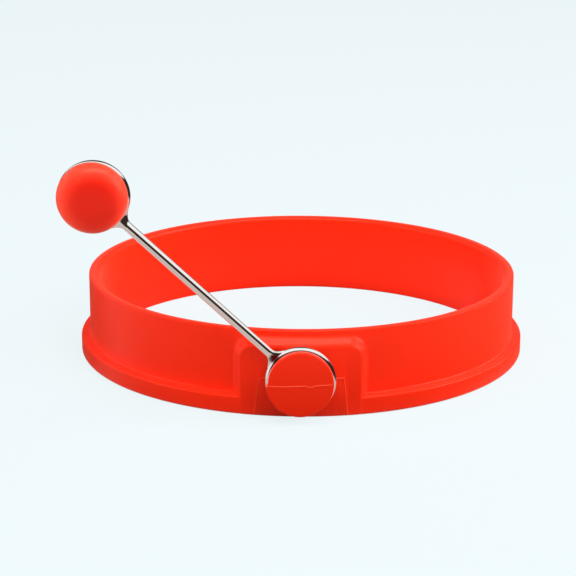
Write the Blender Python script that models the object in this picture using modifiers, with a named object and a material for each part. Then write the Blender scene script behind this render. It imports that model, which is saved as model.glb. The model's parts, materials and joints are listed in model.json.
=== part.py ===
# Egg ring: a moulded silicone band that keeps a frying egg round, with a steel wire
# handle that turns on a stud moulded on the outside of the band.
# Metres, +Z up. The band stands on the plane z = 0 and its stud faces -Y.

import math

import bmesh
import bpy
from mathutils import Matrix, Vector
from mathutils.geometry import interpolate_bezier

# Fits and working values
CLEARANCE = 0.0003            # between pieces that touch
CUT_OVERRUN = 0.0010          # how far a shape runs past the plane that trims it
MERGE_DISTANCE = 0.00001

# Band
BAND_RADIUS = 0.0502          # outer face
BAND_WALL = 0.0024
BAND_HEIGHT = 0.0188
RIM_INNER_ROUND = 0.0010
RIM_OUTER_ROUND = 0.0004
MOUTH_ROUND = 0.0003          # lower inner edge
BAND_SEGMENTS = 128

# Flange around the foot of the band
FLANGE_WIDTH = 0.0021         # beyond the outer face
FLANGE_HEIGHT = 0.0041
FLANGE_TOP_ROUND = 0.0004
FLANGE_FOOT_ROUND = 0.0007
FLANGE_FILLET = 0.0005        # hollow corner between ledge and band

# Pad that thickens the wall behind the stud
PAD_WIDTH = 0.0292
PAD_HEIGHT = 0.0170
PAD_PROUD = 0.00015           # beyond the face of the flange
PAD_SIDE_ROUND = 0.0024
PAD_TOP_ROUND = 0.0015
PAD_CORNER_ROUND = 0.0024      # of the upper corners, seen from the front
PAD_ROOT = 0.0003             # from the inner face of the wall to the back of the pad

# Wire loops, one at each end of the handle
LOOP_OUTSIDE = 0.0153         # outside diameter
LOOP_WIRE = 0.0019
LOOP_SEGMENTS = 48
LOOP_SIDES = 12

# Stud: a neck through the lower loop and a round head in front of it
STUD_HEIGHT = 0.0088          # axis above the base
HEAD_DIAMETER = 0.0142
HEAD_THICKNESS = 0.00205
HEAD_FRONT_ROUND = 0.0007
HEAD_BACK_ROUND = 0.0004
HEAD_CROWN = 0.0001
NECK_FILLET = 0.0003
STUD_SEGMENTS = 64

# Rod between the loops, with a fish-tail foot welded on each
ROD_DIAMETER = 0.0020
ROD_REACH = 0.0588            # from one loop's centre to the other's
ROD_LEAN = math.radians(47)   # from upright, to the left
ROD_SIDES = 20
FOOT_START = 0.0094           # from the loop's centre to where the rod begins to widen
FOOT_SPREAD = math.radians(24)
FOOT_THICKNESS = 0.0018
FOOT_ROUND = 0.0006
FOOT_TIP = 0.00015            # thickness left at the end of each arm
FOOT_BEND_SHARE = 0.45        # how long the curve of an arm leaves and meets its tangents
FOOT_STEPS = 8

# Grip button pressed into the upper loop, with a deep domed front and a smaller back
GRIP_DIAMETER = 0.0149
GRIP_BACK_DIAMETER = 0.0139
GRIP_FRONT_DEPTH = 0.0053     # from the plane of the loop
GRIP_BACK_DEPTH = 0.0030
GRIP_FRONT_ROUND = 0.0027
GRIP_BACK_ROUND = 0.0012
GRIP_LIP_ROUND = 0.0002
GRIP_CROWN = 0.0003
GRIP_SEGMENTS = 64

# Steps in rounded corners
FINE_STEPS = 3
SOFT_STEPS = 6

# Worked out from the sizes above
BAND_INSIDE = BAND_RADIUS - BAND_WALL
FLANGE_RADIUS = BAND_RADIUS + FLANGE_WIDTH
PAD_FACE = FLANGE_RADIUS + PAD_PROUD
WIRE_RADIUS = LOOP_WIRE / 2
ROD_RADIUS = ROD_DIAMETER / 2
LOOP_RADIUS = LOOP_OUTSIDE / 2 - WIRE_RADIUS
LOOP_BORE = LOOP_RADIUS - WIRE_RADIUS
GROOVE_HALF = WIRE_RADIUS + CLEARANCE
NECK_RADIUS = LOOP_BORE - CLEARANCE
LOOP_PLANE = PAD_FACE + GROOVE_HALF
HEAD_BACK = LOOP_PLANE + GROOVE_HALF
HEAD_FACE = HEAD_BACK + HEAD_THICKNESS
ROD_HALF = ROD_REACH / 2

# The origin lies under the middle of the whole object's box
FRONT_REACH = max(HEAD_FACE + HEAD_CROWN, LOOP_PLANE + GRIP_FRONT_DEPTH)
BAND_CENTRE_Y = (FRONT_REACH - FLANGE_RADIUS) / 2

FACE_FRONT = (math.pi / 2, 0, 0)   # turns a shape made along +Z towards -Y


def clear_scene():
    for item in list(bpy.data.objects):
        bpy.data.objects.remove(item, do_unlink=True)


def new_collection(name, hidden=False):
    collection = bpy.data.collections.new(name)
    collection.hide_render = hidden
    bpy.context.scene.collection.children.link(collection)
    return collection


def new_material(name, colour, roughness, metallic):
    material = bpy.data.materials.new(name)
    material.use_nodes = True
    shader = material.node_tree.nodes["Principled BSDF"]
    shader.inputs["Base Color"].default_value = (*colour, 1)
    shader.inputs["Roughness"].default_value = roughness
    shader.inputs["Metallic"].default_value = metallic
    return material


def new_empty(name, collection, parent=None, location=(0, 0, 0), rotation=(0, 0, 0)):
    empty = bpy.data.objects.new(name, None)
    collection.objects.link(empty)
    empty.parent = parent
    empty.location = location
    empty.rotation_euler = rotation
    return empty


def place(item, collection, parent=None, location=(0, 0, 0), rotation=(0, 0, 0)):
    for owner in list(item.users_collection):
        owner.objects.unlink(item)
    collection.objects.link(item)
    item.parent = parent
    item.location = location
    item.rotation_euler = rotation
    return item


def finish(item, material):
    item.data.materials.clear()
    item.data.materials.append(material)
    item.data.shade_smooth()


def as_cutter(item):
    item.hide_render = True
    item.display_type = "WIRE"


def join_or_cut(item, other, operation):
    modifier = item.modifiers.new(f"{operation.title()} {other.name}", "BOOLEAN")
    modifier.operation = operation
    modifier.solver = "EXACT"
    modifier.object = other


def arc(centre, radius, start, end, steps):
    """Points along an arc, with angles in degrees from the first axis."""
    points = []
    for step in range(steps + 1):
        angle = math.radians(start + (end - start) * step / steps)
        points.append((centre[0] + radius * math.cos(angle), centre[1] + radius * math.sin(angle)))
    return points


def turned(name, profile, segments, closed=False):
    """Turns a profile of (radius, height) points about Z."""
    mesh = bpy.data.meshes.new(name)
    edges = [(index, index + 1) for index in range(len(profile) - 1)]
    if closed:
        edges.append((len(profile) - 1, 0))
    mesh.from_pydata([(radius, 0, height) for radius, height in profile], edges, [])
    item = bpy.data.objects.new(name, mesh)
    screw = item.modifiers.new("Turn", "SCREW")
    screw.axis = "Z"
    screw.steps = segments
    screw.render_steps = segments
    screw.use_merge_vertices = True
    screw.merge_threshold = MERGE_DISTANCE
    screw.use_smooth_shade = True
    return item


def outline_curve(name, outline, thickness, edge_round=0.0):
    """A flat outline in its own XY plane, filled and thickened evenly both ways."""
    curve = bpy.data.curves.new(name, "CURVE")
    curve.dimensions = "2D"
    curve.fill_mode = "BOTH"
    curve.extrude = thickness / 2 - edge_round
    curve.bevel_depth = edge_round
    curve.bevel_resolution = 1
    curve.offset = -edge_round
    spline = curve.splines.new("POLY")
    spline.points.add(len(outline) - 1)
    for point, (x, y) in zip(spline.points, outline):
        point.co = (x, y, 0, 1)
    spline.use_cyclic_u = True
    return bpy.data.objects.new(name, curve)


def curve_to_mesh(curve_item):
    """Replaces a curve object by a mesh object with its caps welded on."""
    bpy.context.view_layer.update()
    evaluated = curve_item.evaluated_get(bpy.context.evaluated_depsgraph_get())
    mesh = bpy.data.meshes.new_from_object(evaluated)
    shape = bmesh.new()
    shape.from_mesh(mesh)
    bmesh.ops.remove_doubles(shape, verts=shape.verts, dist=MERGE_DISTANCE)
    bmesh.ops.recalc_face_normals(shape, faces=shape.faces)
    shape.to_mesh(mesh)
    shape.free()
    name = curve_item.name
    collections = list(curve_item.users_collection)
    parent = curve_item.parent
    location = curve_item.location.copy()
    rotation = curve_item.rotation_euler.copy()
    bpy.data.objects.remove(curve_item, do_unlink=True)
    item = bpy.data.objects.new(name, mesh)
    place(item, collections[0], parent, location, rotation)
    return item


def torus(name, wire_radius):
    """A ring of wire standing in the XZ plane, as both loops do."""
    bpy.ops.mesh.primitive_torus_add(
        major_radius=LOOP_RADIUS,
        minor_radius=wire_radius,
        major_segments=LOOP_SEGMENTS,
        minor_segments=LOOP_SIDES,
    )
    item = bpy.context.object
    item.name = name
    item.data.name = name
    item.data.transform(Matrix.Rotation(math.pi / 2, 4, "X"))
    return item


def band_profile():
    """Section of the band and its flange, clockwise from the top of the rim."""
    rim_outer = (BAND_RADIUS - RIM_OUTER_ROUND, BAND_HEIGHT - RIM_OUTER_ROUND)
    ledge_corner = (BAND_RADIUS + FLANGE_FILLET, FLANGE_HEIGHT + FLANGE_FILLET)
    flange_top = (FLANGE_RADIUS - FLANGE_TOP_ROUND, FLANGE_HEIGHT - FLANGE_TOP_ROUND)
    flange_foot = (FLANGE_RADIUS - FLANGE_FOOT_ROUND, FLANGE_FOOT_ROUND)
    mouth = (BAND_INSIDE + MOUTH_ROUND, MOUTH_ROUND)
    rim_inner = (BAND_INSIDE + RIM_INNER_ROUND, BAND_HEIGHT - RIM_INNER_ROUND)
    return (
        arc(rim_outer, RIM_OUTER_ROUND, 90, 0, FINE_STEPS)
        + arc(ledge_corner, FLANGE_FILLET, 180, 270, FINE_STEPS)
        + arc(flange_top, FLANGE_TOP_ROUND, 90, 0, FINE_STEPS)
        + arc(flange_foot, FLANGE_FOOT_ROUND, 0, -90, FINE_STEPS)
        + arc(mouth, MOUTH_ROUND, -90, -180, FINE_STEPS)
        + arc(rim_inner, RIM_INNER_ROUND, 180, 90, FINE_STEPS + 1)
    )


def pad_outline():
    """Plan of the pad: a face concentric with the band, with rounded shoulders."""
    half_width = PAD_WIDTH / 2
    shoulder_x = half_width - PAD_SIDE_ROUND
    shoulder_reach = PAD_FACE - PAD_SIDE_ROUND
    shoulder_y = -math.sqrt(shoulder_reach ** 2 - shoulder_x ** 2)
    turn = math.degrees(math.asin(shoulder_x / shoulder_reach))
    back_radius = BAND_INSIDE + PAD_ROOT
    back_turn = math.degrees(math.asin(half_width / back_radius))
    face = arc((0, 0), PAD_FACE, -90 - turn, -90 + turn, SOFT_STEPS * 2)
    right = arc((shoulder_x, shoulder_y), PAD_SIDE_ROUND, -90 + turn, 0, SOFT_STEPS)
    back = arc((0, 0), back_radius, -90 + back_turn, -90 - back_turn, SOFT_STEPS * 2)
    left = arc((-shoulder_x, shoulder_y), PAD_SIDE_ROUND, 180, 270 - turn, SOFT_STEPS)
    return face[:-1] + right + back + left[:-1]


def pad_corners():
    """Front view that trims the pad's two upper corners round and clears its other edges."""
    half_width = PAD_WIDTH / 2
    inner_x = half_width - PAD_CORNER_ROUND
    shoulder_z = PAD_HEIGHT - PAD_CORNER_ROUND
    side_x = half_width + CUT_OVERRUN
    right = (
        [(side_x, -CUT_OVERRUN), (side_x, shoulder_z)]
        + arc((inner_x, shoulder_z), PAD_CORNER_ROUND, 0, 90, SOFT_STEPS)
        + [(inner_x, PAD_HEIGHT + CUT_OVERRUN)]
    )
    return right + [(-x, z) for x, z in reversed(right)]


def round_ends(item, top_round, bottom_round):
    """Rounds the upper and lower rims of an upright outline, each by its own radius."""
    shape = bmesh.new()
    shape.from_mesh(item.data)
    bmesh.ops.dissolve_limit(
        shape, angle_limit=math.radians(1), verts=shape.verts, edges=shape.edges)
    top = max(vertex.co.z for vertex in shape.verts)
    bottom = min(vertex.co.z for vertex in shape.verts)
    for level, radius in ((top, top_round), (bottom, bottom_round)):
        rim = [edge for edge in shape.edges
               if all(abs(vertex.co.z - level) < MERGE_DISTANCE for vertex in edge.verts)]
        bmesh.ops.bevel(
            shape, geom=rim, offset=radius, offset_type="OFFSET", segments=FINE_STEPS,
            profile=0.5, affect="EDGES", clamp_overlap=False)
    shape.to_mesh(item.data)
    shape.free()


def make_pad(cutters, parent):
    curve = outline_curve("pad_form", pad_outline(), PAD_HEIGHT)
    place(curve, cutters, parent, (0, 0, PAD_HEIGHT / 2))
    pad = curve_to_mesh(curve)
    round_ends(pad, PAD_TOP_ROUND, FLANGE_FOOT_ROUND)
    as_cutter(pad)
    corners = outline_curve("pad_corners", pad_corners(), (PAD_FACE + CUT_OVERRUN) * 2)
    place(corners, cutters, parent, rotation=FACE_FRONT)
    trim = curve_to_mesh(corners)
    as_cutter(trim)
    join_or_cut(pad, trim, "INTERSECT")
    return pad


def stud_profile():
    """Half section of head and neck, from the middle of the face to the root."""
    head_radius = HEAD_DIAMETER / 2
    front = (head_radius - HEAD_FRONT_ROUND, HEAD_FACE - HEAD_FRONT_ROUND)
    back = (head_radius - HEAD_BACK_ROUND, HEAD_BACK + HEAD_BACK_ROUND)
    throat = (NECK_RADIUS + NECK_FILLET, HEAD_BACK - NECK_FILLET)
    root = BAND_RADIUS - BAND_WALL / 2
    return (
        [(0, HEAD_FACE + HEAD_CROWN)]
        + arc(front, HEAD_FRONT_ROUND, 90, 0, FINE_STEPS + 1)
        + arc(back, HEAD_BACK_ROUND, 0, -90, FINE_STEPS)
        + arc(throat, NECK_FILLET, 90, 180, FINE_STEPS)
        + [(NECK_RADIUS, root), (0, root)]
    )


def make_stud(cutters, parent):
    stud = turned("stud_form", stud_profile(), STUD_SEGMENTS)
    place(stud, cutters, parent, (0, 0, STUD_HEIGHT), FACE_FRONT)
    as_cutter(stud)
    return stud


def make_silicone_ring(parts, cutters, parent, material):
    ring = turned("silicone_ring", band_profile(), BAND_SEGMENTS, closed=True)
    place(ring, parts, parent)
    join_or_cut(ring, make_pad(cutters, parent), "UNION")
    join_or_cut(ring, make_stud(cutters, parent), "UNION")
    finish(ring, material)
    return ring


def make_loop(name, parts, parent, reach, material):
    loop = torus(name, WIRE_RADIUS)
    place(loop, parts, parent, (0, 0, reach))
    finish(loop, material)
    return loop


def foot_outline():
    """A fish tail with hollow sides, its origin at the loop's centre and the rod below it."""
    tip_reach = LOOP_OUTSIDE / 2 + CLEARANCE + FOOT_TIP
    outward = Vector((math.sin(FOOT_SPREAD), -math.cos(FOOT_SPREAD)))
    along = Vector((-outward.y, outward.x))
    shoulder = Vector((ROD_RADIUS, -FOOT_START))
    tip = outward * tip_reach
    bend = (tip - shoulder).length * FOOT_BEND_SHARE
    side = interpolate_bezier(
        shoulder.to_3d(),
        (shoulder + Vector((0, bend))).to_3d(),
        (tip - along * bend).to_3d(),
        tip.to_3d(),
        FOOT_STEPS,
    )
    right = [(point.x, point.y) for point in side]
    right.append(tuple(outward * LOOP_RADIUS))
    left = [(-x, y) for x, y in reversed(right)]
    return right + [(0, -LOOP_RADIUS)] + left


def make_foot(cutters, parent, location):
    curve = outline_curve("foot_form", foot_outline(), FOOT_THICKNESS, FOOT_ROUND)
    place(curve, cutters, parent, location, FACE_FRONT)
    foot = curve_to_mesh(curve)
    as_cutter(foot)
    return foot


def make_rod(parts, cutters, parent, material):
    """Half a rod with its foot, trimmed round the upper loop and mirrored at mid length."""
    loop_place = (0, 0, ROD_REACH)
    straight = ROD_HALF - LOOP_RADIUS
    bpy.ops.mesh.primitive_cylinder_add(
        vertices=ROD_SIDES, radius=ROD_RADIUS, depth=straight + CUT_OVERRUN)
    rod = bpy.context.object
    rod.name = "handle_rod"
    rod.data.name = "handle_rod"
    rod.data.transform(Matrix.Translation((0, 0, (straight - CUT_OVERRUN) / 2)))
    place(rod, parts, parent, (0, 0, ROD_HALF))
    join_or_cut(rod, make_foot(cutters, parent, loop_place), "UNION")
    seat = torus("loop_seat", GROOVE_HALF)
    place(seat, cutters, parent, loop_place)
    as_cutter(seat)
    join_or_cut(rod, seat, "DIFFERENCE")
    mirror = rod.modifiers.new("Mirror", "MIRROR")
    mirror.use_axis = (False, False, True)
    mirror.use_bisect_axis = (False, False, True)
    mirror.merge_threshold = MERGE_DISTANCE
    finish(rod, material)
    return rod


def grip_profile():
    """Half section of the grip button, with a round-bottomed groove for the loop."""
    radius = GRIP_DIAMETER / 2
    back_radius = GRIP_BACK_DIAMETER / 2
    edge = (radius - GRIP_FRONT_ROUND, GRIP_FRONT_DEPTH - GRIP_CROWN - GRIP_FRONT_ROUND)
    lip = (radius - GRIP_LIP_ROUND, GROOVE_HALF + GRIP_LIP_ROUND)
    back_lip = (back_radius - GRIP_LIP_ROUND, -GROOVE_HALF - GRIP_LIP_ROUND)
    back_edge = (back_radius - GRIP_BACK_ROUND, -GRIP_BACK_DEPTH + GRIP_BACK_ROUND)
    return (
        [(0, GRIP_FRONT_DEPTH)]
        + arc(edge, GRIP_FRONT_ROUND, 90, 0, SOFT_STEPS)
        + arc(lip, GRIP_LIP_ROUND, 0, -90, FINE_STEPS - 1)
        + arc((LOOP_RADIUS, 0), GROOVE_HALF, 90, 270, SOFT_STEPS)
        + arc(back_lip, GRIP_LIP_ROUND, 90, 0, FINE_STEPS - 1)
        + arc(back_edge, GRIP_BACK_ROUND, 0, -90, FINE_STEPS)
        + [(0, -GRIP_BACK_DEPTH)]
    )


def make_grip(parts, parent, material):
    grip = turned("grip_button", grip_profile(), GRIP_SEGMENTS)
    place(grip, parts, parent, (0, 0, ROD_REACH), FACE_FRONT)
    finish(grip, material)
    return grip


def main():
    clear_scene()
    parts = new_collection("Egg Ring")
    cutters = new_collection("Cutters", hidden=True)
    red = new_material("Red Silicone", (0.95, 0.034, 0.007), 0.45, 0)
    grip_red = new_material("Red Silicone Grip", (0.92, 0.032, 0.012), 0.5, 0)
    steel = new_material("Polished Steel", (0.78, 0.77, 0.75), 0.12, 1)
    rod_steel = new_material("Drawn Steel", (0.74, 0.73, 0.71), 0.15, 1)

    root = new_empty("egg_ring", parts, location=(0, BAND_CENTRE_Y, 0))
    pivot = new_empty(
        "handle_pivot", parts, root, (0, -LOOP_PLANE, STUD_HEIGHT), (0, -ROD_LEAN, 0))

    make_silicone_ring(parts, cutters, root, red)
    make_loop("pivot_loop", parts, pivot, 0, steel)
    make_loop("grip_loop", parts, pivot, ROD_REACH, steel)
    make_rod(parts, cutters, pivot, rod_steel)
    make_grip(parts, pivot, grip_red)


main()
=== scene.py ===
import json
import math

import bmesh
import bpy
from mathutils import Matrix, Vector


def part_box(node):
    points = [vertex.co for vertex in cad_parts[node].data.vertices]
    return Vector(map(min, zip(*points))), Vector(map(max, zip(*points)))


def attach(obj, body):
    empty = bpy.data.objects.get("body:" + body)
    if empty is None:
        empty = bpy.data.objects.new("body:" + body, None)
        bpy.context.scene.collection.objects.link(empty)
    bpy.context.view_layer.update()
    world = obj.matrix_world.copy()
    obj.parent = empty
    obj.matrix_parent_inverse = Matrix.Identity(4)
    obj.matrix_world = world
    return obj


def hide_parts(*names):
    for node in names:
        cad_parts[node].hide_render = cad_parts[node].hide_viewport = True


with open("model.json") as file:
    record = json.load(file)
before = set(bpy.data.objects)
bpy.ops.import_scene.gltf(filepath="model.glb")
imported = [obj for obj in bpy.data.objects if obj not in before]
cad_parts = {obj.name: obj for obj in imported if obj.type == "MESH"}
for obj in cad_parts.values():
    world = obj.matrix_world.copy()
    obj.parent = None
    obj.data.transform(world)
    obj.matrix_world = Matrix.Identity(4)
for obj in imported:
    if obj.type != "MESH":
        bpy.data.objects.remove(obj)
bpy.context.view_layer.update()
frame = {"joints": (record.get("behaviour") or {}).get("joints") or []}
print("frame loaded")

# places and sizes read from the frame
ringLow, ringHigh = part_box("silicone_ring")
loopLow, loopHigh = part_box("pivot_loop")
upLow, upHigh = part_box("grip_loop")
gripLow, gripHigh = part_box("grip_button")
footRadius = (ringHigh.x - ringLow.x) / 2
bandHeight = ringHigh.z
bandAxis = Vector((0, ringHigh.y - footRadius, 0))
pivot = Vector(frame["joints"][0]["pos_m"])  # on the stud's axis, in the plane of the wire loops
gripCentre = (upLow + upHigh) / 2
handleReach = (gripCentre - pivot).length
handleLean = math.atan2(pivot.x - gripCentre.x, gripCentre.z - pivot.z)
loopOutside = loopHigh.x - loopLow.x
loopWire = loopHigh.y - loopLow.y
loopRadius = (loopOutside - loopWire) / 2
gripRadius = (gripHigh - gripLow).z / 2
gripFront = gripCentre.y - gripLow.y  # how far the button reaches from the plane of the loops
gripBack = gripHigh.y - gripCentre.y
touching = 0.00001  # how close two points count as the same place
squarely = 0.9999  # least part of a face's normal along an axis that the face looks straight along
alongStud = (math.pi / 2, 0, 0)  # turns what stands up to lie along the stud's axis


# modelling helpers

def deselectAll():
    bpy.ops.object.select_all(action="DESELECT")


def makeActive(obj):
    deselectAll()
    obj.select_set(True)
    bpy.context.view_layer.objects.active = obj


def newPiece(name):
    obj = bpy.context.object
    obj.name = name
    obj.data.name = name
    return obj


def settle(obj):
    makeActive(obj)
    bpy.ops.object.transform_apply(location=True, rotation=True, scale=True)


def startEdit(obj):
    makeActive(obj)
    bpy.ops.object.mode_set(mode="EDIT")
    bpy.ops.mesh.select_mode(type="VERT")
    bpy.ops.mesh.select_all(action="DESELECT")


def stopEdit():
    bpy.ops.object.mode_set(mode="OBJECT")


def pickVerts(obj, test):
    bpy.ops.mesh.select_mode(type="VERT")
    bpy.ops.mesh.select_all(action="DESELECT")
    bm = bmesh.from_edit_mesh(obj.data)
    for vert in bm.verts:
        vert.select_set(test(vert.co))
    bm.select_flush(True)
    bmesh.update_edit_mesh(obj.data)


def pickEdges(obj, test):
    bpy.ops.mesh.select_mode(type="EDGE")
    bpy.ops.mesh.select_all(action="DESELECT")
    bm = bmesh.from_edit_mesh(obj.data)
    for edge in bm.edges:
        edge.select_set(test(edge.verts[0].co, edge.verts[1].co))
    bmesh.update_edit_mesh(obj.data)


def pickFaces(obj, test):
    bpy.ops.mesh.select_mode(type="FACE")
    bpy.ops.mesh.select_all(action="DESELECT")
    bm = bmesh.from_edit_mesh(obj.data)
    for face in bm.faces:
        face.select_set(test(face.calc_center_median(), face.normal))
    bmesh.update_edit_mesh(obj.data)


def pickAll():
    bpy.ops.mesh.select_all(action="SELECT")


def near(a, b):
    return abs(a - b) < touching


def cutAcross(place, normal, **ends):
    pickAll()
    bpy.ops.mesh.bisect(plane_co=place, plane_no=normal, **ends)


def extrude(offset):
    bpy.ops.mesh.extrude_region_move(TRANSFORM_OT_translate={"value": offset})


def resize(factors, centre):
    bpy.ops.transform.resize(value=factors, center_override=centre)


def insetAndMove(width, offset):
    bpy.ops.mesh.inset(thickness=width)
    bpy.ops.transform.translate(value=offset)


def closeMesh():  # one point at each place, and every face looks outward
    pickAll()
    bpy.ops.mesh.remove_doubles(threshold=touching / 2)
    bpy.ops.mesh.normals_make_consistent(inside=False)
    stopEdit()


def applyModifier(obj, kind, **values):
    makeActive(obj)
    bpy.ops.object.modifier_add(type=kind)
    mod = obj.modifiers[-1]
    for key, value in values.items():
        setattr(mod, key, value)
    bpy.ops.object.modifier_apply(modifier=mod.name)


def joinSolid(obj, other):
    applyModifier(obj, "BOOLEAN", operation="UNION", solver="EXACT", object=other)
    bpy.data.objects.remove(other, do_unlink=True)


def cutSolid(obj, other):
    applyModifier(obj, "BOOLEAN", operation="DIFFERENCE", solver="EXACT", object=other)
    bpy.data.objects.remove(other, do_unlink=True)


def smoothPiece(obj, angle):
    makeActive(obj)
    bpy.ops.object.shade_smooth_by_angle(angle=math.radians(angle))


def placeOnHandle(obj):  # from upright on the world's origin to where the handle rests
    settle(obj)
    obj.matrix_world = Matrix.Translation(pivot) @ Matrix.Rotation(-handleLean, 4, "Y")
    settle(obj)


# material helpers

def startMaterial(name):
    mat = bpy.data.materials.new(name)
    mat.use_nodes = True
    tree = mat.node_tree
    return mat, tree, tree.nodes["Principled BSDF"]


def addNode(nodes, kind, **settings):
    node = nodes.new(kind)
    for key, value in settings.items():
        setattr(node, key, value)
    return node


def startGroup(name, colours, values):  # a group that gives a colour, a roughness and a height
    group = bpy.data.node_groups.new(name, "ShaderNodeTree")
    colour, value = "NodeSocketColor", "NodeSocketFloat"
    sockets = [(key, "INPUT", colour) for key in colours]
    sockets += [(key, "INPUT", value) for key in values]
    sockets += [("Colour", "OUTPUT", colour), ("Roughness", "OUTPUT", value),
                ("Height", "OUTPUT", value)]
    for key, side, kind in sockets:
        group.interface.new_socket(name=key, in_out=side, socket_type=kind)
    return group, group.nodes.new("NodeGroupInput"), group.nodes.new("NodeGroupOutput")


def layGroup(tree, shader, group, look, relief):  # all but its colour, which the material links
    layer = addNode(tree.nodes, "ShaderNodeGroup", node_tree=group)
    for socket in layer.inputs:
        socket.default_value = look[socket.name]
    bump = tree.nodes.new("ShaderNodeBump")
    bump.inputs["Strength"].default_value = relief["strength"]
    bump.inputs["Distance"].default_value = relief["distance"]
    tree.links.new(layer.outputs["Roughness"], shader.inputs["Roughness"])
    tree.links.new(layer.outputs["Height"], bump.inputs["Height"])
    tree.links.new(bump.outputs["Normal"], shader.inputs["Normal"])
    return layer


# silicone

skinNoise = {
    "patchDetail": 3,
    "grainDetail": 4,
    "patchLow": 0.3,   # between these levels of the mottling the skin goes from smooth to rough
    "patchHigh": 0.7,
}


def makeMouldedGroup():  # soft mottling and fine grain of a moulded rubber skin
    group, inside, outside = startGroup(
        "mouldedSkin", ("Colour", "Shade"), ("Patch", "Grain", "Smooth", "Rough"))
    nodes, links = group.nodes, group.links
    place = nodes.new("ShaderNodeTexCoord")
    patch = nodes.new("ShaderNodeTexNoise")
    patch.inputs["Detail"].default_value = skinNoise["patchDetail"]
    grain = nodes.new("ShaderNodeTexNoise")
    grain.inputs["Detail"].default_value = skinNoise["grainDetail"]
    for texture, scale in ((patch, "Patch"), (grain, "Grain")):
        links.new(place.outputs["Object"], texture.inputs["Vector"])
        links.new(inside.outputs[scale], texture.inputs["Scale"])
    mix = addNode(nodes, "ShaderNodeMix", data_type="RGBA")
    links.new(patch.outputs["Fac"], mix.inputs["Factor"])
    links.new(inside.outputs["Colour"], mix.inputs["A"])
    links.new(inside.outputs["Shade"], mix.inputs["B"])
    rough = nodes.new("ShaderNodeMapRange")
    rough.inputs["From Min"].default_value = skinNoise["patchLow"]
    rough.inputs["From Max"].default_value = skinNoise["patchHigh"]
    links.new(patch.outputs["Fac"], rough.inputs["Value"])
    links.new(inside.outputs["Smooth"], rough.inputs["To Min"])
    links.new(inside.outputs["Rough"], rough.inputs["To Max"])
    links.new(mix.outputs["Result"], outside.inputs["Colour"])
    links.new(rough.outputs["Result"], outside.inputs["Roughness"])
    links.new(grain.outputs["Fac"], outside.inputs["Height"])
    return group


mouldedSkin = makeMouldedGroup()

rubber = {  # what all silicone surfaces have in common
    "relief": {"strength": 0.08, "distance": 0.00004},
    "refraction": 1.41,
    "glossTint": (1, 0.82, 0.62, 1),
    "scatterReach": (0.004, 0.0006, 0.0003),
    "sheenRoughness": 0.35,
    "sheenTint": (1, 0.76, 0.56, 1),
}
siliconeLook = {
    "Colour": (0.96, 0.021, 0.0022, 1),
    "Shade": (0.92, 0.018, 0.0018, 1),
    "Patch": 160,
    "Grain": 3500,
    "Smooth": 0.28,
    "Rough": 0.35,
    "gloss": 0.32,
    "sheen": 0.16,
    "scatter": 0.1,
}
flashHighlightLook = {  # the mould's flash ridges, coloured paler: a painted highlight along the lines
    "Colour": (1, 0.075, 0.030, 1),
    "Shade": (0.98, 0.055, 0.020, 1),
    "Patch": 160,
    "Grain": 3500,
    "Smooth": 0.30,
    "Rough": 0.38,
    "gloss": 0.4,
    "sheen": 0.2,
    "scatter": 0.1,
}
# darker than the ring's red: painted shade on the button's face, which the painted rim highlight turns
# pale towards the edge
gripShadedLook = {
    "Colour": (0.75, 0.009, 0.0010, 1),
    "Shade": (0.70, 0.008, 0.0008, 1),
    "Patch": 260,
    "Grain": 4200,
    "Smooth": 0.32,
    "Rough": 0.40,
    "gloss": 0.42,
    "sheen": 0.25,
    "scatter": 0.5,
}
paintedRimLight = {  # painted highlight: the grip's colour turns paler towards its rim, round a darker centre that sits a little right and low
    "centre": gripCentre + Vector((0.0005, 0, -0.0004)),
    "start": 0.0034,       # distances from the centre between which the colour changes
    "end": 0.0080,
    "colour": (1, 0.052, 0.022, 1),
}


def paintRimHighlight(tree, colour, rim):  # painted highlight: paler by the distance from the rim's centre, seen from the front
    nodes, links = tree.nodes, tree.links
    place = nodes.new("ShaderNodeTexCoord")
    away = addNode(nodes, "ShaderNodeVectorMath", operation="SUBTRACT")
    away.inputs[1].default_value = rim["centre"]
    flat = addNode(nodes, "ShaderNodeVectorMath", operation="MULTIPLY")
    flat.inputs[1].default_value = (1, 0, 1)
    far = addNode(nodes, "ShaderNodeVectorMath", operation="LENGTH")
    rise = addNode(nodes, "ShaderNodeMapRange", interpolation_type="SMOOTHSTEP")
    rise.inputs["From Min"].default_value = rim["start"]
    rise.inputs["From Max"].default_value = rim["end"]
    mix = addNode(nodes, "ShaderNodeMix", data_type="RGBA")
    mix.inputs["B"].default_value = rim["colour"]
    links.new(place.outputs["Object"], away.inputs[0])
    links.new(away.outputs["Vector"], flat.inputs[0])
    links.new(flat.outputs["Vector"], far.inputs[0])
    links.new(far.outputs["Value"], rise.inputs["Value"])
    links.new(rise.outputs["Result"], mix.inputs["Factor"])
    links.new(colour, mix.inputs["A"])
    return mix.outputs["Result"]


def makeSilicone(name, look, rim=None):
    mat, tree, shader = startMaterial(name)
    skin = layGroup(tree, shader, mouldedSkin, look, rubber["relief"])
    colour = skin.outputs["Colour"]
    # a rim look paints a paler highlight round the edge of the colour
    if rim:
        colour = paintRimHighlight(tree, colour, rim)
    tree.links.new(colour, shader.inputs["Base Color"])
    shader.inputs["IOR"].default_value = rubber["refraction"]
    shader.inputs["Specular IOR Level"].default_value = look["gloss"]
    shader.inputs["Specular Tint"].default_value = rubber["glossTint"]
    shader.inputs["Subsurface Weight"].default_value = look["scatter"]
    shader.inputs["Subsurface Radius"].default_value = rubber["scatterReach"]
    shader.inputs["Subsurface Scale"].default_value = 1
    shader.inputs["Sheen Weight"].default_value = look["sheen"]
    shader.inputs["Sheen Roughness"].default_value = rubber["sheenRoughness"]
    shader.inputs["Sheen Tint"].default_value = rubber["sheenTint"]
    return mat


def wear(obj, mat):
    obj.data.materials.clear()
    obj.data.materials.append(mat)


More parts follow.
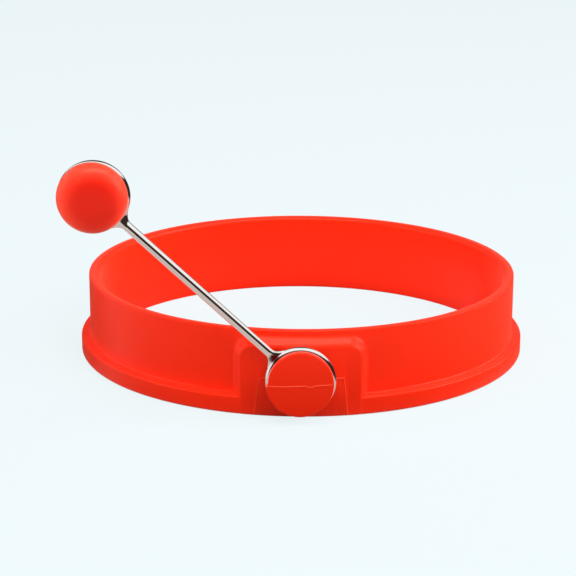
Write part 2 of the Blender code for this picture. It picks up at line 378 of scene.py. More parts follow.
redSilicone = makeSilicone("redSilicone", siliconeLook)
# the flash's paler red is a painted highlight
flashHighlightSilicone = makeSilicone("flashHighlightSilicone", flashHighlightLook)
# the grip's darker red and pale rim are painted shade and painted highlight
gripPaintedLightSilicone = makeSilicone("gripPaintedLightSilicone", gripShadedLook, paintedRimLight)
print("silicone made")


# silicone ring

bandShape = {
    "wall": 0.0024,
    "flangeWidth": 0.0021,
    "flangeHeight": 0.0041,
    "rimInner": 0.0011,
    "rimOuter": 0.0004,
    "ledgeHollow": 0.0006,
    "ledgeRound": 0.0005,
    "footRound": 0.0007,
    "mouthRound": 0.0003,
    "roundSteps": 6,
    "steps": 256,
    "smoothUnder": 40,     # degrees between two faces that are shaded as one surface
}
bandRadius = footRadius - bandShape["flangeWidth"]
bandInside = bandRadius - bandShape["wall"]


def makeBand():
    shape = bandShape
    wall = shape["wall"]
    ledge = shape["flangeHeight"]
    deselectAll()
    bpy.ops.mesh.primitive_plane_add(
        size=1, location=(bandInside + wall / 2, bandAxis.y, bandHeight / 2), rotation=alongStud)
    band = newPiece("siliconeRing")
    band.scale = (wall, bandHeight, 1)
    settle(band)
    startEdit(band)
    cutAcross((0, 0, ledge), (0, 0, 1))
    pickEdges(band, lambda a, b: near(a.x + b.x, bandRadius * 2) and near(a.z + b.z, ledge))
    extrude((shape["flangeWidth"], 0, 0))
    bpy.ops.mesh.select_mode(type="FACE")
    pickAll()
    bpy.ops.mesh.dissolve_faces()
    corners = [  # radius, height and rounding of each corner of the section
        (bandInside, bandHeight, shape["rimInner"]),
        (bandRadius, bandHeight, shape["rimOuter"]),
        (bandRadius, ledge, shape["ledgeHollow"]),
        (footRadius, ledge, shape["ledgeRound"]),
        (footRadius, 0, shape["footRound"]),
        (bandInside, 0, shape["mouthRound"]),
    ]
    for radius, height, rounding in corners:
        pickVerts(band, lambda v: near(v.x, radius) and near(v.z, height))
        bpy.ops.mesh.bevel(
            offset=rounding, segments=shape["roundSteps"], affect="VERTICES", clamp_overlap=False)
    bpy.ops.mesh.select_mode(type="FACE")
    pickAll()
    bpy.ops.mesh.delete(type="ONLY_FACE")
    bpy.ops.mesh.select_mode(type="VERT")
    pickAll()
    bpy.ops.mesh.spin(steps=shape["steps"], angle=2 * math.pi, center=bandAxis, axis=(0, 0, 1))
    closeMesh()
    return band


padShape = {
    "width": 0.0298,        # where its sides leave the band
    "height": 0.0181,
    "proud": 0.00003,       # beyond the flange
    "root": 0.0012,         # how far it reaches into the wall
    "start": 0.00005,       # how deep under the band's surface its sides begin
    "cornerRound": 0.0052,  # of the upper corners, seen from the front
    "slope": 0.0028,        # how wide its soft sides are
    "spare": 1.5,           # slopes of silicone below the base, cut off again
    "cornerSteps": 16,
    "slopeSteps": 16,
    "slices": 48,
}
patchShape = {  # slightly raised place round the stud, left by an insert in the mould
    "low": 0.0006,
    "high": 0.0087,
    "halfHigh": 0.0092,
    "halfLow": 0.0101,
    "shift": 0.00015,      # to the right of the stud's axis
    "slope": 0.0003,
    "rise": 0.00014,
    "deep": 0.0006,
}
padFace = footRadius + padShape["proud"]


def makePatch(front):
    shape = patchShape
    tall = shape["high"] - shape["low"]
    deselectAll()
    bpy.ops.mesh.primitive_cube_add(
        size=1, location=(shape["shift"], front + shape["deep"] / 2, shape["low"] + tall / 2))
    patch = newPiece("patch")
    flat = bandRadius / padFace  # bending spreads it again
    patch.scale = (shape["halfHigh"] * 2 * flat, shape["deep"], tall)
    settle(patch)
    startEdit(patch)
    pickVerts(patch, lambda v: near(v.z, shape["low"]))
    resize((shape["halfLow"] / shape["halfHigh"], 1, 1), (shape["shift"], 0, 0))
    pickFaces(patch, lambda c, n: n.y < -squarely)
    insetAndMove(shape["slope"], (0, -shape["rise"], 0))
    stopEdit()
    return patch


def makePad():  # made flat, then bent round the band
    shape = padShape
    tall = shape["height"]
    below = shape["slope"] * shape["spare"]
    halfTurn = math.asin(shape["width"] / 2 / bandRadius)
    halfArc = halfTurn * bandRadius
    start = shape["start"]
    front = bandRadius - padFace
    deselectAll()
    bpy.ops.mesh.primitive_cube_add(
        size=1, location=(0, (start + shape["root"]) / 2, (tall - below) / 2))
    pad = newPiece("pad")
    pad.scale = (halfArc * 2, shape["root"] - start, tall + below)
    settle(pad)
    startEdit(pad)
    pickEdges(pad, lambda a, b: near(a.z, tall) and near(b.z, tall) and near(a.x, b.x))
    bpy.ops.mesh.bevel(offset=shape["cornerRound"], segments=shape["cornerSteps"], affect="EDGES")
    pickFaces(pad, lambda c, n: n.y < -squarely)
    level = start
    steps = shape["slopeSteps"]
    for step in range(1, steps + 1):  # hollow at the band, round at the face
        newLevel = start + (front - start) * (1 - math.cos(math.pi * step / steps)) / 2
        insetAndMove(shape["slope"] / steps, (0, newLevel - level, 0))
        level = newLevel
    cutAcross((0, 0, 0), (0, 0, 1), use_fill=True, clear_inner=True)
    footRound = bandShape["footRound"]  # along the base's edge, where it is clear of the band
    pickEdges(pad, lambda a, b: near(a.z + b.z, 0) and a.y + b.y < -footRound * 2)
    bpy.ops.mesh.bevel(
        offset=footRound, segments=bandShape["roundSteps"], affect="EDGES", clamp_overlap=False)
    stopEdit()
    joinSolid(pad, makePatch(front))
    startEdit(pad)
    for index in range(1, shape["slices"]):  # so that it can bend
        cutAcross((-halfArc + 2 * halfArc * index / shape["slices"], 0, 0), (1, 0, 0))
    stopEdit()
    applyModifier(pad, "SIMPLE_DEFORM", deform_method="BEND", deform_axis="Z", angle=halfTurn * 2)
    pad.location = (0, bandAxis.y - bandRadius, 0)
    settle(pad)
    return pad


studShape = {
    "headDepth": 0.00205,
    "play": 0.0003,        # round the wire
    "lift": 0.0001,        # of the head's centre above the neck's
    "sides": 128,
    "frontRound": 0.0002,
    "frontSteps": 8,
    "backRound": 0.0004,
    "backSteps": 4,
    "crown": 0.00012,      # how far the middle of the face bulges
    "rings": 8,
    # the mould's two halves don't quite meet: the lower half of the head is wider and to the left
    "upperRadius": 0.0070,
    "upperShift": 0.00005,
    "lowerRadius": 0.00715,
    "lowerShift": -0.00014,
    "lowerProud": 0.00005,
    "seam": -0.0002,       # height of their meeting above the neck's axis
}
headBack = pivot.y - loopWire / 2 - studShape["play"]
headFront = headBack - studShape["headDepth"]
neckRadius = loopRadius - loopWire / 2 - studShape["play"]


def makeHead(name, radius, shift, proud):
    shape = studShape
    front = headFront - proud
    back = headBack - proud
    deselectAll()
    bpy.ops.mesh.primitive_cylinder_add(
        vertices=shape["sides"], radius=radius, depth=back - front,
        location=(shift, (front + back) / 2, pivot.z + shape["lift"]), rotation=alongStud)
    head = newPiece(name)
    settle(head)
    startEdit(head)
    pickEdges(head, lambda a, b: near(a.y, front) and near(b.y, front))
    bpy.ops.mesh.bevel(offset=shape["frontRound"], segments=shape["frontSteps"], affect="EDGES")
    pickEdges(head, lambda a, b: near(a.y, back) and near(b.y, back))
    bpy.ops.mesh.bevel(offset=shape["backRound"], segments=shape["backSteps"], affect="EDGES")
    pickFaces(head, lambda c, n: n.y < -squarely)
    rings = shape["rings"]
    for ring in range(1, rings):  # a barely domed face: ring by ring up a parabola
        rise = shape["crown"] * (2 * (rings - ring) + 1) / rings ** 2
        insetAndMove((radius - shape["frontRound"]) / rings, (0, -rise, 0))
    stopEdit()
    return head


def makeStud():
    shape = studShape
    stud = makeHead("stud", shape["upperRadius"], shape["upperShift"], 0)
    startEdit(stud)
    pickFaces(stud, lambda c, n: n.y > squarely)
    insetAndMove(shape["upperRadius"] - shape["backRound"] - neckRadius,
                 (-shape["upperShift"], 0, -shape["lift"]))
    neckLength = bandAxis.y - bandRadius + padShape["root"] - headBack
    extrude((0, neckLength, 0))
    stopEdit()
    lower = makeHead("lowerHead", shape["lowerRadius"], shape["lowerShift"], shape["lowerProud"])
    startEdit(lower)
    cutAcross((0, 0, pivot.z + shape["seam"]), (0, 0, 1), use_fill=True, clear_outer=True)
    stopEdit()
    joinSolid(stud, lower)
    return stud


flashShape = {
    "sunk": 0.00004,       # how deep a ridge's centre lies under the surface
    "roundSteps": 3,
    "smoothUnder": 80,
    "headRadius": 0.00014,
    "rightRadius": 0.00012,
    "leftRadius": 0.00006,
    # across the head's face, as x and height above the neck's axis
    "head": [(-0.00705, -0.00008), (-0.0066, -0.00014), (-0.0056, -0.00020), (-0.0044, -0.00022),
             (-0.0030, -0.00020), (-0.0012, -0.00014), (0.0003, -0.00006), (0.0010, 0.00001),
             (0.0015, -0.00022), (0.0020, -0.00038), (0.0026, -0.00022), (0.0033, 0.00003),
             (0.0044, 0.00010), (0.0055, 0.00013), (0.0063, 0.00020), (0.0068, 0.00028)],
    # round the raised place of the pad, as x and height above the base
    "right": [(0.0066, 0.0087), (0.0078, 0.00873), (0.0089, 0.00875), (0.0092, 0.0086),
              (0.00935, 0.0074), (0.0096, 0.0050), (0.0098, 0.0030), (0.0100, 0.0012),
              (0.0101, 0.0004)],
    "left": [(-0.0066, 0.0087), (-0.0080, 0.00872), (-0.0089, 0.0086), (-0.0091, 0.0074),
             (-0.0094, 0.0050), (-0.0096, 0.0030), (-0.0098, 0.0012), (-0.0099, 0.0004)],
}


def makeFlashLine(name, places, radius):  # a thin ridge left by the mould along a row of points
    curve = bpy.data.curves.new(name, "CURVE")
    curve.dimensions = "3D"
    curve.bevel_depth = radius
    curve.bevel_resolution = flashShape["roundSteps"]
    curve.use_fill_caps = True
    spline = curve.splines.new("POLY")
    spline.points.add(len(places) - 1)
    for point, place in zip(spline.points, places):
        point.co = (*place, 1)
    line = bpy.data.objects.new(name, curve)
    bpy.context.scene.collection.objects.link(line)
    makeActive(line)
    bpy.ops.object.convert(target="MESH")
    settle(line)
    return line


def headPoint(x, z):  # on the face of the head, and round its edge
    shape = studShape
    flat = shape["upperRadius"] - shape["frontRound"]
    reach = min(abs(x), flat) / flat
    beyond = min(max(0, abs(x) - flat), shape["frontRound"])
    drop = shape["frontRound"] - math.sqrt(shape["frontRound"] ** 2 - beyond ** 2)
    face = headFront - shape["crown"] * (1 - reach ** 2) + drop
    return (x, face + flashShape["sunk"], pivot.z + z)


def padPoint(x, z):  # on the bent face of the pad's raised place
    radius = padFace + patchShape["rise"] - flashShape["sunk"]
    return (x, bandAxis.y - math.sqrt(radius ** 2 - x ** 2), z)


def makeRing():
    ring = makeBand()
    joinSolid(ring, makePad())
    joinSolid(ring, makeStud())
    smoothPiece(ring, bandShape["smoothUnder"])
    lines = []
    for name, point in (("head", headPoint), ("right", padPoint), ("left", padPoint)):
        places = [point(x, z) for x, z in flashShape[name]]
        line = makeFlashLine(name + "Line", places, flashShape[name + "Radius"])
        smoothPiece(line, flashShape["smoothUnder"])
        # paler red: a painted highlight along the ridge
        line.data.materials.append(flashHighlightSilicone)
        lines.append(line)
    ring.data.materials.append(redSilicone)
    makeActive(ring)
    for line in lines:
        line.select_set(True)
    bpy.ops.object.join()
    return ring


ring = makeRing()
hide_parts("silicone_ring")
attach(ring, "ring")
print("silicone ring made")


# wire loops and rod

wireShape = {
    "rodRadius": 0.0010,
    "footStart": 0.0094,   # from a loop's centre to where the rod widens
    "footSpread": 23,      # degrees each side that an arm of the foot reaches
    "footDepth": 0.0012,
    "footSteps": 14,
    "flare": 2.1,          # how late the arms of the foot open: 1 would be straight sides
    "saddle": 0.2,         # share of the loop's wire that the foot reaches into, cut off again
    "sides": 32,
    "loopSteps": 192,
    "seatSteps": 160,
    "rodSides": 48,
    "smoothUnder": 40,
}


def makeLoop(name, height):
    shape = wireShape
    deselectAll()
    bpy.ops.mesh.primitive_circle_add(
        vertices=shape["sides"], radius=loopWire / 2, location=(loopRadius, 0, 0), rotation=alongStud)
    loop = newPiece(name)
    settle(loop)
    startEdit(loop)
    pickAll()
    bpy.ops.mesh.spin(steps=shape["loopSteps"], angle=2 * math.pi, center=(0, 0, 0), axis=(0, 0, 1))
    closeMesh()
    loop.rotation_euler = alongStud
    settle(loop)
    loop.location = (0, 0, height)
    smoothPiece(loop, shape["smoothUnder"])
    placeOnHandle(loop)
    return loop


pivotLoop = makeLoop("pivotLoop", 0)
gripLoop = makeLoop("gripLoop", handleReach)
for loop, node in ((pivotLoop, "pivot_loop"), (gripLoop, "grip_loop")):
    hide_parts(node)
    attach(loop, "handle")
print("loops made")


def footOutline(height):  # half width of the foot at a height above the loop's centre
    shape = wireShape
    spread = math.radians(shape["footSpread"])
    tipWidth = math.sin(spread) * (loopOutside / 2)
    tipHeight = math.cos(spread) * (loopOutside / 2)
    along = (shape["footStart"] - height) / (shape["footStart"] - tipHeight)
    return shape["rodRadius"] + (tipWidth - shape["rodRadius"]) * max(0, along) ** shape["flare"]


def makeRod():
    shape = wireShape
    middle = handleReach / 2
    start = shape["footStart"]
    tip = math.cos(math.radians(shape["footSpread"])) * loopOutside / 2
    end = tip - loopWire * shape["saddle"]
    deselectAll()
    bpy.ops.mesh.primitive_cylinder_add(  # the lower half, which is mirrored once it has its foot
        vertices=shape["rodSides"], radius=shape["rodRadius"], depth=middle - start,
        location=(0, 0, (middle + start) / 2))
    rod = newPiece("handleRod")
    settle(rod)
    startEdit(rod)
    steps = shape["footSteps"]
    level = start
    width = shape["rodRadius"]
    depth = shape["rodRadius"]
    pickFaces(rod, lambda c, n: n.z < -squarely)
    for step in range(1, steps + 1):
        share = step / steps
        newLevel = start + (end - start) * share
        newWidth = footOutline(newLevel)
        flatter = math.sin(share * math.pi / 2)
        newDepth = shape["rodRadius"] + (shape["footDepth"] / 2 - shape["rodRadius"]) * flatter
        extrude((0, 0, newLevel - level))
        resize((newWidth / width, newDepth / depth, 1), (0, 0, newLevel))
        level, width, depth = newLevel, newWidth, newDepth
    pickFaces(rod, lambda c, n: near(c.z, middle) and n.z > squarely)
    bpy.ops.mesh.delete(type="FACE")
    stopEdit()
    bpy.ops.mesh.primitive_torus_add(
        major_radius=loopRadius, minor_radius=loopWire / 2 - touching,
        major_segments=shape["seatSteps"], minor_segments=shape["sides"], rotation=alongStud)
    seat = newPiece("seat")
    settle(seat)
    rod.location = (0, 0, -middle)
    settle(rod)
    applyModifier(rod, "MIRROR", use_axis=(False, False, True), merge_threshold=touching)
    rod.location = (0, 0, middle)
    settle(rod)
    startEdit(rod)
    closeMesh()
    upperSeat = seat.copy()
    upperSeat.data = seat.data.copy()
    bpy.context.scene.collection.objects.link(upperSeat)
    upperSeat.location = (0, 0, handleReach)
    cutSolid(rod, seat)
    cutSolid(rod, upperSeat)
    smoothPiece(rod, shape["smoothUnder"])
    placeOnHandle(rod)
    return rod


rod = makeRod()
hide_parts("handle_rod")
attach(rod, "handle")
print("rod made")


# grip button

buttonShape = {
    "backRadius": 0.0069,
    "rim": 0.0010,         # how far the full width reaches in front of the wire
    "rimPower": 3.5,       # fullness of the domed front across and along
    "domePower": 2.3,
    "domeSteps": 24,
    "backRound": 0.0014,
    "backSteps": 8,
    "dishRim": 0.0012,     # of the shallow dish at the back
    "dishSlope": 0.0008,
    "dishDepth": 0.0004,
    "waist": 0.0001,       # two cuts this far from the wire's middle, inside the groove
    "seat": 0.00003,       # between wire and groove
    "sides": 128,
    "smoothUnder": 50,
    "off": (-0.0002, 0.0001),  # sideways and up: it isn't pressed in quite evenly
}


def domeOutline(share):  # radius and depth of the domed front, from its rim to its middle
    shape = buttonShape
    turn = math.pi / 2 * (1 - share)
    radius = gripRadius * math.sin(turn) ** (2 / shape["rimPower"])
    depth = (gripFront - shape["rim"]) * math.cos(turn) ** (2 / shape["domePower"])
    return radius, shape["rim"] + depth


def makeButton():
    shape = buttonShape
    front = -shape["rim"]
    waist = shape["waist"]
    deselectAll()
    bpy.ops.mesh.primitive_cylinder_add(
        vertices=shape["sides"], radius=gripRadius, depth=gripBack - front,
        location=(0, (front + gripBack) / 2, handleReach), rotation=alongStud)
    button = newPiece("gripButton")
    settle(button)
    startEdit(button)
    for side in (-waist, waist):
        cutAcross((0, side, 0), (0, 1, 0))
    pickVerts(button, lambda v: v.y > waist - touching)
    share = shape["backRadius"] / gripRadius
    resize((share, 1, share), (0, 0, handleReach))
    pickFaces(button, lambda c, n: n.y < -squarely)
    radius, depth = gripRadius, shape["rim"]
    for step in range(1, shape["domeSteps"]):
        newRadius, newDepth = domeOutline(step / shape["domeSteps"])
        extrude((0, depth - newDepth, 0))
        share = newRadius / radius
        resize((share, 1, share), (0, -newDepth, handleReach))
        radius, depth = newRadius, newDepth
    pickEdges(button, lambda a, b: near(a.y, gripBack) and near(b.y, gripBack))
    bpy.ops.mesh.bevel(offset=shape["backRound"], segments=shape["backSteps"], affect="EDGES")
    pickFaces(button, lambda c, n: n.y > squarely)
    bpy.ops.mesh.inset(thickness=shape["dishRim"])
    insetAndMove(shape["dishSlope"], (0, -shape["dishDepth"], 0))
    stopEdit()
    button.location = (shape["off"][0], 0, shape["off"][1])
    settle(button)
    bpy.ops.mesh.primitive_torus_add(
        major_radius=loopRadius, minor_radius=loopWire / 2 + shape["seat"],
        major_segments=wireShape["loopSteps"], minor_segments=wireShape["sides"],
        location=(0, 0, handleReach), rotation=alongStud)
    groove = newPiece("groove")
    settle(groove)
    cutSolid(button, groove)
    smoothPiece(button, shape["smoothUnder"])
    placeOnHandle(button)
    return button


button = makeButton()
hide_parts("grip_button")
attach(button, "handle")
print("grip button made")


# steel

weldBurnAndShade = {  # welding burns the steel in the crook where rod and loop meet; the dark tint there is also painted shade and painted dark reflection in the crook
    "off": 0.0001,         # how far outside the loop its centre lies
    "lower": 0.0010,       # how far the dark tint reaches round the lower weld
    "upper": 0.0003,
    "fade": 0.0005,
    "strength": 0.95,
}
lineDetail = 3  # of the noise that the drawn lines are made of


def makeWireGroup():  # fine drawn lines, and the dark tint at the two welds: weld burn with painted shade in the crooks
    group, inside, outside = startGroup(
        "drawnWire", ("Steel", "BurntAndShaded"), ("Stretch", "Lines", "Smooth", "Rough"))
    nodes, links = group.nodes, group.links
    place = nodes.new("ShaderNodeTexCoord")
    stretch = nodes.new("ShaderNodeCombineXYZ")
    stretch.inputs["X"].default_value = 1
    stretch.inputs["Y"].default_value = 1
    turn = addNode(nodes, "ShaderNodeMapping", vector_type="TEXTURE")  # so that Z runs along the handle
    turn.inputs["Rotation"].default_value = (0, -handleLean, 0)
    lines = nodes.new("ShaderNodeTexNoise")
    lines.inputs["Detail"].default_value = lineDetail
    tone = nodes.new("ShaderNodeMapRange")
    links.new(inside.outputs["Stretch"], stretch.inputs["Z"])
    links.new(stretch.outputs["Vector"], turn.inputs["Scale"])
    links.new(place.outputs["Object"], turn.inputs["Vector"])
    links.new(turn.outputs["Vector"], lines.inputs["Vector"])
    links.new(inside.outputs["Lines"], lines.inputs["Scale"])
    links.new(lines.outputs["Fac"], tone.inputs["Value"])
    links.new(inside.outputs["Smooth"], tone.inputs["To Min"])
    links.new(inside.outputs["Rough"], tone.inputs["To Max"])
    along = Vector((-math.sin(handleLean), 0, math.cos(handleLean)))
    crook = loopOutside / 2 + weldBurnAndShade["off"]
    welds = ((crook, weldBurnAndShade["lower"]), (handleReach - crook, weldBurnAndShade["upper"]))
    both = addNode(nodes, "ShaderNodeMath", operation="MAXIMUM")
    for index, (height, reach) in enumerate(welds):
        far = addNode(nodes, "ShaderNodeVectorMath", operation="DISTANCE")
        far.inputs[1].default_value = pivot + along * height
        links.new(place.outputs["Object"], far.inputs[0])
        fade = nodes.new("ShaderNodeMapRange")
        fade.inputs["From Min"].default_value = reach
        fade.inputs["From Max"].default_value = reach + weldBurnAndShade["fade"]
        fade.inputs["To Min"].default_value = weldBurnAndShade["strength"]
        fade.inputs["To Max"].default_value = 0
        links.new(far.outputs["Value"], fade.inputs["Value"])
        links.new(fade.outputs["Result"], both.inputs[index])
    mix = addNode(nodes, "ShaderNodeMix", data_type="RGBA")
    links.new(both.outputs["Value"], mix.inputs["Factor"])
    links.new(inside.outputs["Steel"], mix.inputs["A"])
    links.new(inside.outputs["BurntAndShaded"], mix.inputs["B"])
    links.new(mix.outputs["Result"], outside.inputs["Colour"])
    links.new(tone.outputs["Result"], outside.inputs["Roughness"])
    links.new(lines.outputs["Fac"], outside.inputs["Height"])
    return group


drawnWire = makeWireGroup()

steelRelief = {"strength": 0.015, "distance": 0.00001}
rodLook = {
    "Steel": (0.84, 0.82, 0.80, 1),
    # near-black at the welds: burn and painted shade
    "BurntAndShaded": (0.05, 0.038, 0.034, 1),
    "Stretch": 30,         # long lines along the rod
    "Lines": 6000,
    "Smooth": 0.05,
    "Rough": 0.13,
}
loopLook = {
    "Steel": (0.84, 0.82, 0.80, 1),
    # near-black at the welds: burn and painted shade
    "BurntAndShaded": (0.05, 0.038, 0.034, 1),
    "Stretch": 1,
    "Lines": 2500,
    "Smooth": 0.04,
    "Rough": 0.12,
}


def makeSteel(name, look):
    mat, tree, shader = startMaterial(name)
    wire = layGroup(tree, shader, drawnWire, look, steelRelief)
    tree.links.new(wire.outputs["Colour"], shader.inputs["Base Color"])
    shader.inputs["Metallic"].default_value = 1
    return mat


rodSteel = makeSteel("drawnRod", rodLook)
loopSteel = makeSteel("polishedLoop", loopLook)
wear(button, gripPaintedLightSilicone)
wear(rod, rodSteel)
wear(pivotLoop, loopSteel)
wear(gripLoop, loopSteel)
print("steel made")


# floor, light and camera

stageLook = {
    "pale": (0.838, 0.918, 0.940),
    "floorRadius": 3.0,
    "floorSides": 96,
    "floorGlow": 0.921,    # share of the floor's seen colour that doesn't depend on the light
    "floorLit": 0.10,      # share that the lamps light, which keeps the shadow soft and faint
    # what the floor gives back to the object at each distance from its middle, least beside the ring
    "floorBounce": [(0, 0.85), (0.046, 0.85), (0.054, 0.12), (0.085, 0.20), (0.13, 1.0)],
    "worldFill": 0.37,
}


def makeFloor():
    bpy.ops.mesh.primitive_circle_add(
        vertices=stageLook["floorSides"], radius=stageLook["floorRadius"], fill_type="NGON")
    floor = newPiece("floor")
    mat, tree, shader = startMaterial("paleFloor")
    nodes, links = tree.nodes, tree.links
    nodes.remove(shader)
    pale = stageLook["pale"]
    bounce = nodes.new("ShaderNodeBsdfDiffuse")  # what lights the object from below
    far = addNode(nodes, "ShaderNodeVectorMath", operation="LENGTH")
    levels = nodes.new("ShaderNodeValToRGB")
    stops = levels.color_ramp.elements
    for index, (distance, share) in enumerate(stageLook["floorBounce"]):
        stop = stops[index] if index < 2 else stops.new(distance)
        stop.position = distance
        stop.color = (*[value * share for value in pale], 1)
    links.new(nodes.new("ShaderNodeTexCoord").outputs["Object"], far.inputs[0])
    links.new(far.outputs["Value"], levels.inputs["Fac"])
    links.new(levels.outputs["Color"], bounce.inputs["Color"])
    lit = nodes.new("ShaderNodeBsdfDiffuse")
    lit.inputs["Color"].default_value = (*[value * stageLook["floorLit"] for value in pale], 1)
    glow = nodes.new("ShaderNodeEmission")
    glow.inputs["Color"].default_value = (*pale, 1)
    glow.inputs["Strength"].default_value = stageLook["floorGlow"]
    seen = nodes.new("ShaderNodeAddShader")
    path = nodes.new("ShaderNodeLightPath")
    mix = nodes.new("ShaderNodeMixShader")
    links.new(lit.outputs["BSDF"], seen.inputs[0])
    links.new(glow.outputs["Emission"], seen.inputs[1])
    links.new(path.outputs["Is Camera Ray"], mix.inputs["Fac"])
    links.new(bounce.outputs["BSDF"], mix.inputs[1])
    links.new(seen.outputs["Shader"], mix.inputs[2])
    links.new(mix.outputs["Shader"], nodes["Material Output"].inputs["Surface"])
    wear(floor, mat)
    floor.visible_glossy = False  # what is polished mirrors the studio that the world paints
    return floor


studio = {  # what the wire and the silicone mirror, by direction; an edge fades between two levels
    # colour at each height, from the table below to the ceiling
    "levels": [(-0.28, (0.66, 0.57, 0.53)), (-0.05, (1.0, 0.98, 0.96)),
               (0.62, (1.05, 1.05, 1.04)), (0.84, (1.1, 1.1, 1.08))],
    # a dark gap between table and ceiling runs round the room and is open at the far left
    "gapTilt": (0, 0.15, 1),
    "gapLow": (-0.31, -0.23),
    "gapHigh": (0.46, 0.37),
    "gapLeft": (-0.90, -0.74),
    "gapColour": (0.040, 0.022, 0.018),
    # the upper part of the back is dim
    "backTilt": (-0.4, 1, 0.6),
    "backEdge": (0.62, 0.80),
    "backFoot": (-0.15, 0.05),
    "backColour": (0.09, 0.075, 0.07),
}


def makeStudio(nodes, links):
    look = studio
    place = nodes.new("ShaderNodeTexCoord").outputs["Generated"]
    split = nodes.new("ShaderNodeSeparateXYZ")
    links.new(place, split.inputs["Vector"])
    sideways = addNode(nodes, "ShaderNodeVectorMath", operation="ABSOLUTE")
    links.new(place, sideways.inputs[0])
    widths = nodes.new("ShaderNodeSeparateXYZ")
    links.new(sideways.outputs["Vector"], widths.inputs["Vector"])
    even = nodes.new("ShaderNodeCombineXYZ")  # the same to the left and to the right
    links.new(widths.outputs["X"], even.inputs["X"])
    links.new(split.outputs["Y"], even.inputs["Y"])
    links.new(split.outputs["Z"], even.inputs["Z"])

    def lean(vector, tilt):
        dot = addNode(nodes, "ShaderNodeVectorMath", operation="DOT_PRODUCT")
        dot.inputs[1].default_value = tilt
        links.new(vector, dot.inputs[0])
        return dot.outputs["Value"]

    def fade(value, edge):
        ramp = nodes.new("ShaderNodeMapRange")
        ramp.inputs["From Min"].default_value, ramp.inputs["From Max"].default_value = edge
        links.new(value, ramp.inputs["Value"])
        return ramp.outputs["Result"]

    def times(first, second):
        product = addNode(nodes, "ShaderNodeMath", operation="MULTIPLY")
        links.new(first, product.inputs[0])
        links.new(second, product.inputs[1])
        return product.outputs["Value"]

    def blend(mask, colour, shade):
        mix = addNode(nodes, "ShaderNodeMix", data_type="RGBA")
        links.new(mask, mix.inputs["Factor"])
        links.new(colour, mix.inputs["A"])
        mix.inputs["B"].default_value = (*shade, 1)
        return mix.outputs["Result"]

    bands = nodes.new("ShaderNodeValToRGB")
    links.new(fade(split.outputs["Z"], (-1, 1)), bands.inputs["Fac"])
    levels = [((height + 1) / 2, colour) for height, colour in look["levels"]]
    stops = bands.color_ramp.elements
    stops[0].position, stops[0].color = levels[0][0], (*levels[0][1], 1)
    stops[1].position, stops[1].color = levels[-1][0], (*levels[-1][1], 1)
    for position, colour in levels[1:-1]:
        stops.new(position).color = (*colour, 1)
    height = lean(place, look["gapTilt"])
    gap = times(times(fade(height, look["gapLow"]), fade(height, look["gapHigh"])),
                fade(split.outputs["X"], look["gapLeft"]))
    back = times(fade(lean(even.outputs["Vector"], look["backTilt"]), look["backEdge"]),
                 fade(split.outputs["Z"], look["backFoot"]))
    return blend(back, blend(gap, bands.outputs["Color"], look["gapColour"]), look["backColour"])


def makeWorld():
    world = bpy.data.worlds.new("paleRoom")
    bpy.context.scene.world = world
    world.use_nodes = True
    nodes, links = world.node_tree.nodes, world.node_tree.links
    path = nodes.new("ShaderNodeLightPath")
    fillRoom = nodes["Background"]
    fillRoom.inputs["Color"].default_value = (1, 1, 1, 1)
    fillRoom.inputs["Strength"].default_value = stageLook["worldFill"]
    mirrored = nodes.new("ShaderNodeBackground")
    links.new(makeStudio(nodes, links), mirrored.inputs["Color"])
    seenRoom = nodes.new("ShaderNodeBackground")
    seenRoom.inputs["Color"].default_value = (*stageLook["pale"], 1)
    first = nodes.new("ShaderNodeMixShader")
    second = nodes.new("ShaderNodeMixShader")
    links.new(path.outputs["Is Glossy Ray"], first.inputs["Fac"])
    links.new(fillRoom.outputs["Background"], first.inputs[1])
    links.new(mirrored.outputs["Background"], first.inputs[2])
    links.new(path.outputs["Is Camera Ray"], second.inputs["Fac"])
    links.new(first.outputs["Shader"], second.inputs[1])
    links.new(seenRoom.outputs["Background"], second.inputs[2])
    links.new(second.outputs["Shader"], nodes["World Output"].inputs["Surface"])


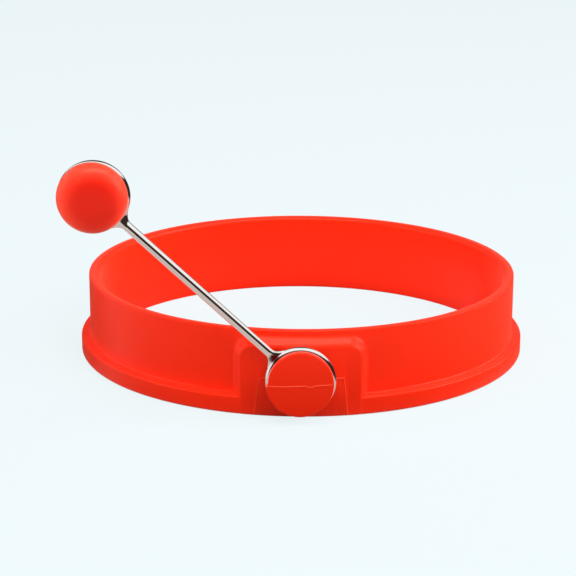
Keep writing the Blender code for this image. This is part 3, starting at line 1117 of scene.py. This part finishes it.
softboxes = {  # all point at the world's origin; none lights the wire, which mirrors the studio
    "keyBox": {"place": (0.42, -0.60, 0.54), "size": (0.4, 0.4), "watts": 3.2,
               "lightsFloor": True, "mirrored": False},
    "fillBox": {"place": (-0.80, -0.24, 0.30), "size": (0.5, 0.5), "watts": 4.0,
                "lightsFloor": False, "mirrored": False},
    "sideBox": {"place": (0.80, -0.12, 0.44), "size": (0.5, 0.5), "watts": 3.4,
                "lightsFloor": True, "mirrored": True},
    "topBox": {"place": (0.05, -0.12, 0.86), "size": (0.8, 0.3), "watts": 4.2,
               "lightsFloor": True, "mirrored": True},
    "rimBox": {"place": (0.74, 0.36, 0.14), "size": (0.4, 0.24), "watts": 5.5,
               "lightsFloor": False, "mirrored": False},
}


def makeLitGroup(name, pieces):
    group = bpy.data.collections.new(name)
    for piece in pieces:
        group.objects.link(piece)
    return group


def addSoftboxes(floor):
    silicone = makeLitGroup("silicone", (ring, button))
    siliconeAndFloor = makeLitGroup("siliconeAndFloor", (ring, button, floor))
    for name, box in softboxes.items():
        bpy.ops.object.light_add(type="AREA", location=box["place"])
        lamp = newPiece(name)
        lamp.data.shape = "RECTANGLE"
        lamp.data.size, lamp.data.size_y = box["size"]
        lamp.data.energy = box["watts"]
        lamp.rotation_euler = (-Vector(box["place"])).to_track_quat("-Z", "Y").to_euler()
        lamp.light_linking.receiver_collection = siliconeAndFloor if box["lightsFloor"] else silicone
        lamp.visible_glossy = box["mirrored"]


def addCamera():
    shot = {
        "distance": 0.460,
        "elevation": 16.84,
        "roll": 0.155,
        "focal": 120.25,
        "sensor": 36,
        "nearest": 0.01,
        "aim": (-0.00315, 0, 0.0136),  # what is at the middle of the frame, from the band's axis
    }
    target = bandAxis + Vector((0, 0, bandHeight / 2))
    tilt = math.radians(shot["elevation"])
    place = target + shot["distance"] * Vector((0, -math.cos(tilt), math.sin(tilt)))
    bpy.ops.object.camera_add(location=place)
    camera = newPiece("camera")
    direction = bandAxis + Vector(shot["aim"]) - place
    look = direction.to_track_quat("-Z", "Y")
    roll = Matrix.Rotation(math.radians(shot["roll"]), 3, "Z").to_quaternion()
    camera.rotation_mode = "QUATERNION"
    camera.rotation_quaternion = look @ roll
    camera.data.lens = shot["focal"]
    camera.data.sensor_width = shot["sensor"]
    camera.data.clip_start = shot["nearest"]
    bpy.context.scene.camera = camera


floor = makeFloor()
makeWorld()
addSoftboxes(floor)
addCamera()
bpy.context.scene.view_settings.view_transform = "Standard"
print("stage made")
